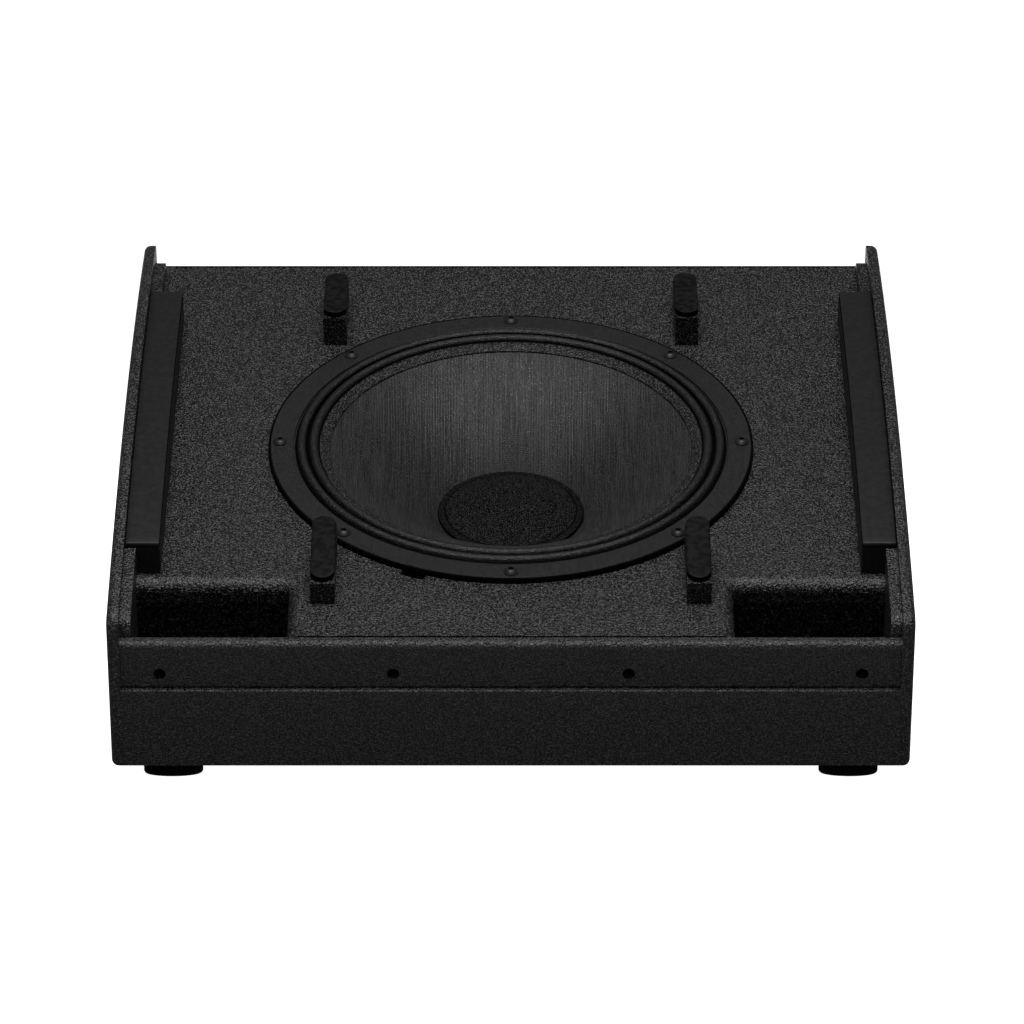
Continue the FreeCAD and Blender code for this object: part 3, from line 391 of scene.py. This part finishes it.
def doped_cloth(name, dark, light, rough, height, specular, weave=0.0009):
    """Cloth soaked in a soft black coating: a fine uneven grain, lighter and glossier where it stands up."""
    brightest = light * 1.6
    look = Look(name, grey((dark + light) / 2), rough, specular)
    grain = look.noise(weave, 0.5, 0.65)
    look.shades(grain, 0.52, 0.64, grey(dark), grey(brightest))
    look.gloss(grain, rough + 0.14, rough - 0.14)
    look.raised(grain, height)
    return look


def winding(name, colour, pitch):
    """Enamelled wire wound side by side about the driver's axis."""
    look = metal(name, colour, 0.35)
    look.raised(look.bands(pitch, "Z", TILT_BACK), 0.0001)
    return look


def film(name):
    """Amber plastic film with a faint lay."""
    look = Look(name, (0.45, 0.24, 0.06), 0.35)
    lay = look.noise(0.003, stretch=(1.0, 1.0, 0.2))
    look.shades(lay, *NOISE_SPAN, (0.38, 0.19, 0.04), (0.5, 0.28, 0.08))
    look.raised(lay, 0.00003)
    return look


def circuit(name):
    """Solder mask over copper tracks: two greens and a slight relief."""
    look = Look(name, (0.05, 0.16, 0.08), 0.35)
    tracks = look.levels(look.cells(0.011, "DISTANCE_TO_EDGE"), 0.02, 0.06)
    look.tint(tracks, (0.0, (0.03, 0.10, 0.05)), (1.0, (0.06, 0.19, 0.09)))
    look.gloss(look.noise(0.004), 0.3, 0.42)
    look.raised(tracks, 0.0001)
    return look


LOOKS = {look.name: look for look in (
    speckled("textured_paint", dark=0.0, light=0.056, rough=0.41, specular=0.36, grain=0.00125, height=0.0012),
    rolled_paint("painted_wood"),
    plywood("bare_plywood"),
    foam("soft_foam", dark=0.0055, light=0.0075, rough=0.52, cell=0.0007, height=0.00003, specular=0.25),
    speckled("driver_casting", dark=0.006, light=0.012, rough=0.48, specular=0.3, grain=0.0011, height=0.00008),
    foam("driver_foam", dark=0.0006, light=0.0014, rough=0.85, cell=0.0008, height=0.0002, specular=0.03),
    doped_cloth("surround_cloth", dark=0.0, light=0.013, rough=0.4, height=0.0007, specular=0.31),
    woven("cone_paper", dark=0.0, light=0.040, pitch=0.0013, rough=0.41, height=0.00026, specular=0.32, streaks=0.6),
    woven("cap_mesh", dark=0.0, light=0.028, pitch=0.0014, rough=0.6, height=0.0002, specular=0.02, streaks=0.2),
    metal("black_steel", grey(0.03), 0.32, metallic=0.6),
    metal("zinc_steel", (0.55, 0.56, 0.58), 0.35),
    moulded("ferrite", (0.05, 0.05, 0.055), 0.5, grain=0.0012, height=0.00005),
    metal("motor_steel", (0.06, 0.06, 0.065), 0.4, metallic=0.8),
    winding("copper_winding", (0.55, 0.25, 0.12), pitch=0.0006),
    film("former_film"),
    woven("spider_cloth", dark=0.28, light=0.48, pitch=0.0011, rough=0.8, height=0.0002, specular=0.2, streaks=0.4),
    metal("titanium", (0.5, 0.5, 0.52), 0.3),
    moulded("foot_rubber", grey(0.0015), 0.7, grain=0.0011, height=0.00008, specular=0.04),
    circuit("circuit_board"),
    moulded("capacitor_case", (0.1, 0.12, 0.3), 0.35, grain=0.002, height=0.00003),
    moulded("moulded_plastic", (0.02, 0.02, 0.022)),
    moulded("cable_jacket", grey(0.03), 0.5, grain=0.0016, height=0.00004),
    moulded("grip_rubber", grey(0.02), 0.55, grain=0.0011, height=0.00012, specular=0.3),
)}

# Looks of single pieces that differ from the rest of their slot. The front panel's and the posts' copies of the
# textured paint carry painted light and painted shade.
# The front panel's copy of the textured paint is lighter and less speckled: painted light.
FRONT_PAINTED_LIGHT = speckled("front_painted_light", dark=0.0, light=0.034, rough=0.41, specular=0.36, grain=0.00125, height=0.0012,
                       low=0.44)
# The posts' copy of the textured paint is darker and duller: painted shade.
POST_PAINTED_SHADE = speckled("post_painted_shade", dark=0.0, light=0.034, rough=0.41, specular=0.22, grain=0.00125, height=0.0012)
PORT_PAINT = speckled("port_paint", dark=0.0, light=0.035, rough=0.5, specular=0.15, grain=0.0017, height=0.0006)
SCREW_BLACK = metal("screw_black", grey(0.010), 0.42, metallic=0.0, specular=0.22)
INSERT_BLACK = metal("insert_black", grey(0.002), 0.6, metallic=0.0, specular=0.03)

# Second looks of parts of a piece. The near-black foam sides and groove bands among them are painted shade.
PAD_SKIN = foam("pad_skin", dark=0.0006, light=0.0056, rough=0.6, cell=0.0007, height=0.00003, specular=0.1)
# Near-black foam for the sides of the pads and the strips: painted shade.
FOAM_SIDE_SHADE = foam("foam_side_shade", dark=0.0006, light=0.0012, rough=0.9, cell=0.0009, height=0.0001, specular=0.02)
# Near-black cloth for narrow bands in the grooves of the surround and the cap: painted shade.
GROOVE_PAINTED_SHADE = doped_cloth("groove_painted_shade", dark=0.0004, light=0.001, rough=0.7, height=0.0002, specular=0.03)
GLUE_LIP = doped_cloth("glue_lip", dark=0.0, light=0.040, rough=0.5, height=0.0006, specular=0.14, weave=0.0010)
CAP_RING = doped_cloth("cap_ring", dark=0.0, light=0.011, rough=0.6, height=0.0005, specular=0.06)

OWN_LOOKS = (
    (INSERT_BLACK, ("grille_inserts",)),
    (SCREW_BLACK, ("driver_screws",)),
    (FRONT_PAINTED_LIGHT, ("front_panel",)),
    (POST_PAINTED_SHADE, ("upper_post_left", "upper_post_right", "lower_post_left", "lower_post_right")),
    (PORT_PAINT, ("port_wall_left", "port_wall_right", "port_divider_left", "port_divider_right")),
)


def dress(thing, look):
    thing.data.materials.clear()
    thing.data.materials.append(look.material)


for part in frame["record"]["subparts"]:
    dress(frame["nodes"][part["node"]], LOOKS[part["material_slot"]])
for look, nodes in OWN_LOOKS:
    for node in nodes:
        dress(frame["nodes"][node], look)

# ---------------------------------------------------------------- pieces made here

MM = 0.001
RING_STEPS = 288            # points round the axis
CAP_STEPS = 192


def piece(name, body, shape, look):
    """A piece from points, in millimetres in the baffle's own frame, and their faces. It rides on a body, if named."""
    verts, faces = shape
    mesh = bpy.data.meshes.new(name)
    mesh.from_pydata([tuple(part * MM for part in vert) for vert in verts], [], faces)
    mesh.validate()
    made = bmesh.new()
    made.from_mesh(mesh)
    bmesh.ops.recalc_face_normals(made, faces=made.faces)
    made.to_mesh(mesh)
    made.free()
    mesh.shade_smooth()
    mesh.materials.append(look.material)
    thing = bpy.data.objects.new(name, mesh)
    bpy.context.collection.objects.link(thing)
    thing.matrix_world = TO_ROW
    if body:
        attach(thing, body)
    return thing


def turned(profile, count):
    """Closed ring of a profile of (radius, height) points about the axis."""
    verts = []
    faces = []
    size = len(profile)
    for step in range(count):
        angle = 2 * math.pi * step / count
        for radius, height in profile:
            verts.append((radius * math.cos(angle), radius * math.sin(angle), height))
    for step in range(count):
        here = step * size
        there = (step + 1) % count * size
        for index in range(size):
            after = (index + 1) % size
            faces.append((here + index, there + index, there + after, here + after))
    return verts, faces


def lofted(rows, around):
    """Faces between rows of this many points each, with the first and the last row closed."""
    faces = []
    for base in range(0, (rows - 1) * around, around):
        for index in range(around):
            after = (index + 1) % around
            faces.append((base + index, base + after, base + around + after, base + around + index))
    faces.append(tuple(range(around))[::-1])
    faces.append(tuple(range((rows - 1) * around, rows * around)))
    return faces


def arc(start, end, radius, steps):
    """Points from start to end on an arc that bulges up, both ends included."""
    across = Vector((end[0] - start[0], end[1] - start[1]))
    half = across.length / 2
    side = Vector((-across.y, across.x)).normalized()
    if side.y < 0:
        side = -side
    centre = (Vector(start) + Vector(end)) / 2 - side * math.sqrt(max(radius * radius - half * half, 0.0))
    first = math.atan2(start[1] - centre.y, start[0] - centre.x)
    last = math.atan2(end[1] - centre.y, end[0] - centre.x)
    turn = (last - first + math.pi) % (2 * math.pi) - math.pi
    return [(centre.x + radius * math.cos(first + turn * step / steps),
             centre.y + radius * math.sin(first + turn * step / steps)) for step in range(steps + 1)]


def wrapped(top, thick):
    """Closed profile of a sheet that follows the top points, its underside this far below along the normal."""
    under = []
    for index, (radius, height) in enumerate(top):
        before = top[max(index - 1, 0)]
        after = top[min(index + 1, len(top) - 1)]
        run = Vector((after[0] - before[0], after[1] - before[1])).normalized()
        down = Vector((run.y, -run.x))
        if down.y > 0:
            down = -down
        under.append((radius + down.x * thick, height + down.y * thick))
    return top + under[::-1]

# ---------------------------------------------------------------- soft surround and spider

SETTLED = 0.45              # how far the surround and the cone's rim have sunk
FLANGE_FROM = 172.0         # radius from which the surround is held on the basket's flange
SURROUND_THICK = 0.7
SPIDER_THICK = 0.5
SURROUND_MOULD = (
    [(172.7, 4.1), (171.6, 4.1), (171.1, 4.9)]
    + arc((171.0, 5.9), (164.2, 5.9), 3.5, 14)
    + [(163.9, 4.6), (163.5, 3.7), (162.8, 3.3), (162.1, 3.7), (161.8, 4.6)]
    + arc((161.5, 5.9), (154.5, 5.9), 3.6, 14)
    + [(154.2, 4.9), (153.7, 4.3), (153.2, 4.5), (152.7, 4.75), (150.6, 3.85), (148.2, 2.65), (145.9, 1.45),
       (145.2, 1.0), (144.9, 0.4)]
)
SURROUND_TOP = [(radius, height - (SETTLED if radius < FLANGE_FROM else 0.0)) for radius, height in SURROUND_MOULD]
GLUED = [(144.0, 153.2)]
# Bands of radius painted near-black as shade: at the cone's edge, in the grooves beside and between the rolls, and by
# the flange.
SURROUND_SHADED_GROOVES = [(144.0, 145.0), (153.1, 154.5), (161.7, 164.3), (171.1, 173.0)]


def bending_ring(name, slot, top, thick, node):
    """Ring turned from a profile in place of a CAD node, which it hides; it rides on no body."""
    ring = piece(name, None, turned(wrapped(top, thick), RING_STEPS), LOOKS[slot])
    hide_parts(node)
    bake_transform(ring)
    return ring


def second_look(ring, look, bands, own_frame):
    """Another material over ranges of radius, on points that are in the baffle's own frame or else in the world's."""
    ring.data.materials.append(look.material)
    back = Matrix.Identity(4) if own_frame else TO_ROW.inverted()
    for face in ring.data.polygons:
        spot = back @ face.center
        radius = math.hypot(spot.x, spot.y) / MM
        if any(low < radius < high for low, high in bands):
            face.material_index = len(ring.data.materials) - 1


def spider_top():
    """Flat glued rims with even pleats between them."""
    middle_height, wave, pitch = -79.7, 1.45, 12.0
    first, trough, step, count = 57.0, 60.0, 0.6, 51
    pleats = []
    for number in range(count):
        radius = first + number * step
        pleats.append((radius, middle_height - wave * math.cos(2 * math.pi * (radius - trough) / pitch)))
    return [(52.1, -79.25), (54.5, -79.35)] + pleats + [(88.6, -80.15), (92.9, -80.2)]


SURROUND = bending_ring("surround_rolls", "surround_cloth", SURROUND_TOP, SURROUND_THICK, "surround")
second_look(SURROUND, GLUE_LIP, GLUED, own_frame=False)
# Painted shade in the surround's grooves.
second_look(SURROUND, GROOVE_PAINTED_SHADE, SURROUND_SHADED_GROOVES, own_frame=False)
bending_ring("spider_rolls", "spider_cloth", spider_top(), SPIDER_THICK, "spider")

# ---------------------------------------------------------------- cone, cap and gasket

CONE_THICK = 1.1
CONE_CURVE = 330.0
CONE_TOP = arc((51.25, -72.0), (152.0, 3.2 - SETTLED), CONE_CURVE, 48)
cone = piece("cone_skin", "cone_assembly", turned(wrapped(CONE_TOP, CONE_THICK), RING_STEPS),
             LOOKS["cone_paper"])
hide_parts("cone")

CAP_RIM = -62.0
DOME_TOP = CAP_RIM + 11.2
DOME_CURVE = 160.0
DOME_THICK = 0.8
CAP_TOP = (
    [(0.0, DOME_TOP)]
    + arc((1.0, DOME_TOP), (52.6, CAP_RIM + 1.7), DOME_CURVE, 26)
    + [(53.1, CAP_RIM + 1.2), (53.6, CAP_RIM + 1.5), (54.2, CAP_RIM + 1.75), (57.6, CAP_RIM + 1.1),
       (58.6, CAP_RIM + 0.5), (59.1, CAP_RIM - 0.6)]
)
CAP_UNDER = [(58.3, CAP_RIM - 1.2), (56.5, CAP_RIM + 0.2), (52.6, CAP_RIM + 0.9), (1.0, DOME_TOP - DOME_THICK),
             (0.0, DOME_TOP - DOME_THICK)]
CAP_FLANGE = [(52.8, 60.0)]
# Bands of radius painted near-black as shade in the cap's grooves.
CAP_SHADED_GROOVES = [(52.7, 53.5), (58.7, 60.0)]
cap = piece("cap_dome", "cone_assembly", turned(CAP_TOP + CAP_UNDER, CAP_STEPS), LOOKS["cap_mesh"])
second_look(cap, CAP_RING, CAP_FLANGE, own_frame=True)
# Painted shade in the cap's grooves.
second_look(cap, GROOVE_PAINTED_SHADE, CAP_SHADED_GROOVES, own_frame=True)
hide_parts("dust_cap")

GASKET = [(179.1, 0.05), (194.0, 0.05), (194.35, 0.5), (194.2, 1.6), (194.3, 3.6), (194.1, 4.5), (193.6, 5.0),
          (193.1, 5.0), (192.75, 4.6), (192.75, 0.95), (179.1, 0.95)]
gasket = piece("gasket_ring", "cabinet", turned(GASKET, RING_STEPS), LOOKS["driver_foam"])
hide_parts("driver_gasket")

# ---------------------------------------------------------------- pads on the posts

POST_SIDE = 144.9           # middle of a post, from the cabinet's middle
POST_HIGH = 22.4            # middle of its top, over the baffle
POST_ROWS = (("upper", 1, 192.3), ("lower", -1, -184.0))
POST_SLOPE = math.radians(5.5)
PAD_SHIFT = 1.7
PAD_LONG = 75.0
PAD_WIDE = 19.0
SKIN_FROM = 4.3             # height over which a pad shows its smooth skin; below it the sides carry painted shade
SIDES = (("left", -1), ("right", 1))


def pad_mesh():
    """Foam pad with half-round ends: pinched a little between its faces, slightly crowned, with rounded rims."""
    end_steps, side_steps = 14, 10
    straight = (PAD_LONG - PAD_WIDE) / 2
    levels = [(6.0, 0.06), (1.0, 0.06), (0.35, 0.2), (0.1, 0.7), (0.22, 2.4), (0.0, 4.0), (0.12, 4.45), (0.45, 4.8),
              (1.0, 4.98), (2.2, 5.1), (4.5, 5.2), (7.0, 5.25), (9.2, 5.27)]
    verts = []
    for inset, height in levels:
        radius = PAD_WIDE / 2 - inset
        for end in (1, -1):
            for step in range(end_steps + 1):
                angle = math.pi * step / end_steps + (0 if end > 0 else math.pi)
                verts.append((radius * math.cos(angle), end * straight + radius * math.sin(angle), height))
            for step in range(1, side_steps):
                run = 1 - 2 * step / side_steps
                verts.append((-end * radius, end * straight * run, height))
    return verts, lofted(len(levels), len(verts) // len(levels))


for height, up, along in POST_ROWS:
    lean = Matrix.Rotation(-POST_SLOPE * up, 3, "X")
    shift = lean @ Vector((0.0, PAD_SHIFT, 0.0))
    for side_name, side in SIDES:
        verts, faces = pad_mesh()
        base = Vector((POST_SIDE * side, along + shift.y, POST_HIGH + shift.z))
        verts = [tuple(base + lean @ Vector(vert)) for vert in verts]
        cushion = piece("pad_%s_%s" % (height, side_name), "cabinet", (verts, faces), FOAM_SIDE_SHADE)
        # The pad's sides and underside, below the skin, get the near-black look: painted shade.
        cushion.data.materials.append(PAD_SKIN.material)
        for face in cushion.data.polygons:
            over_post = (lean.transposed() @ (face.center / MM - base)).z
            face.material_index = int(over_post > SKIN_FROM)
        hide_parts("post_pads")

# ---------------------------------------------------------------- strips on the ledges

STRIP_RUN = (-180.0, 195.0)
STRIP_INSIDE = 271.6
STRIP_OUTSIDE = 298.2
STRIP_LOW = 0.32            # underside over the ledge
STRIP_HIGH = 5.0
STRIP_STEPS = 60
LEDGE_MIDDLE = 1.75         # along the slope, where the ledge is highest
LEDGE_TOP = 32.17
LEDGE_RADIUS = 1927.0
SIDE_FACE = 0.6             # share of X in the direction of a strip's sides, which carry painted shade


def strip_mesh(side):
    """Long flat strip of foam bent along the ledge: rounded rims, a slight crown and blunt ends."""
    low, high = STRIP_LOW, STRIP_HIGH
    centre = (STRIP_INSIDE + STRIP_OUTSIDE) / 2
    half = (STRIP_OUTSIDE - STRIP_INSIDE) / 2
    outline = [(-half + 0.5, low), (half - 0.5, low), (half - 0.1, low + 0.4), (half - 0.25, 2.6), (half, 4.2),
               (half - 0.3, 4.75), (half - 0.9, high), (half * 0.6, high + 0.1), (0.0, high + 0.14),
               (-half * 0.6, high + 0.1), (-half + 0.9, high), (-half + 0.3, 4.75), (-half, 4.2),
               (-half + 0.25, 2.6), (-half + 0.1, low + 0.4)]
    start, end = STRIP_RUN
    stations = [start, start + 0.3]
    stations += [start + 1.0 + (end - start - 2.0) * step / STRIP_STEPS for step in range(STRIP_STEPS + 1)]
    stations += [end - 0.3, end]
    last = len(stations) - 1
    pinches = {0: 0.7, 1: 0.2, last - 1: 0.2, last: 0.7}
    verts = []
    for number, run in enumerate(stations):
        ledge = LEDGE_TOP - (run - LEDGE_MIDDLE) ** 2 / (LEDGE_RADIUS * 2)
        pinch = pinches.get(number, 0.0)
        for x, out in outline:
            x = x - math.copysign(min(pinch, abs(x)), x)
            out = out - pinch if out > 2.6 else out + pinch * (out < 1.0)
            verts.append((side * (centre + x), run, ledge + out))
    return verts, lofted(len(stations), len(outline))


for side_name, side in SIDES:
    strip = piece("strip_" + side_name, "cabinet", strip_mesh(side), LOOKS["soft_foam"])
    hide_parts("edge_strip_" + side_name)
    # The strip's sides get the near-black look: painted shade.
    strip.data.materials.append(FOAM_SIDE_SHADE.material)
    for face in strip.data.polygons:
        if abs(face.normal.x) > SIDE_FACE:
            face.material_index = len(strip.data.materials) - 1
